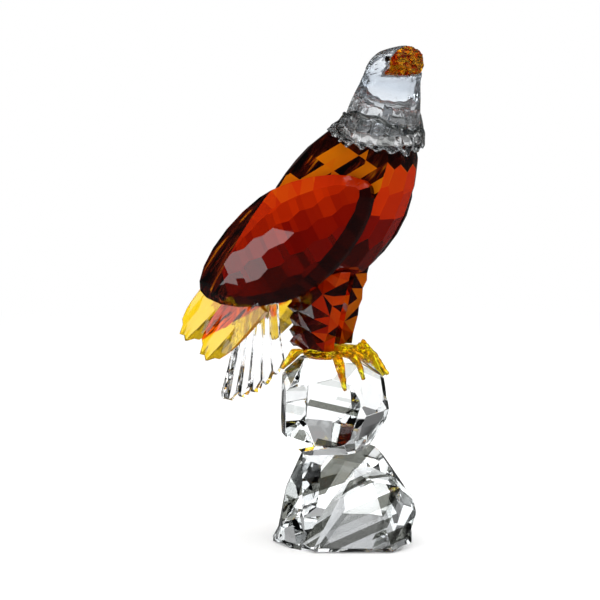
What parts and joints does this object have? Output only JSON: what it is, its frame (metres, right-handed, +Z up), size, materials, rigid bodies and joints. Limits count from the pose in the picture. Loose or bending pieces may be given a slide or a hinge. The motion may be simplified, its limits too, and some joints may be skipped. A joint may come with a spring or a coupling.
{
  "type": "eagle figurine",
  "caption": "Perched eagle of faceted amber and clear cut crystal, with fluted yellow-tipped wing feathers, standing on a clear boulder over a clear rock base.",
  "frame": {"origin": "middle of the rock base's underside, on the surface that it stands on", "axes": "+Z up, +X the way the eagle faces, +Y to the eagle's left"},
  "size_m": [0.1099, 0.0654, 0.2244],
  "materials": {
    "rock_base": "clear polished cut crystal",
    "boulder": "clear polished cut crystal",
    "body": "amber polished cut crystal",
    "wing": "amber polished cut crystal",
    "wing_feather": "amber shading to yellow, fluted polished crystal",
    "tail": "clear polished cut crystal",
    "collar": "clear cast crystal with a leafy relief",
    "head": "clear polished crystal, engraved",
    "beak": "amber cast crystal",
    "eye": "polished black bead",
    "leg": "amber polished cut crystal",
    "foot": "honey yellow cast crystal"
  },
  "bodies": {
    "root": {"rock_base_back": "rock_base", "rock_base_front": "rock_base", "boulder": "boulder", "body": "body", "wing_right": "wing", "wing_left": "wing", "wing_feather_inner_right": "wing_feather", "wing_feather_inner_left": "wing_feather", "wing_feather_outer_right": "wing_feather", "wing_feather_outer_left": "wing_feather", "tail": "tail", "collar": "collar", "head": "head", "beak": "beak", "eye_right": "eye", "eye_left": "eye", "leg_right": "leg", "leg_left": "leg", "foot_right": "foot", "foot_left": "foot"}
  },
  "joints": []
}
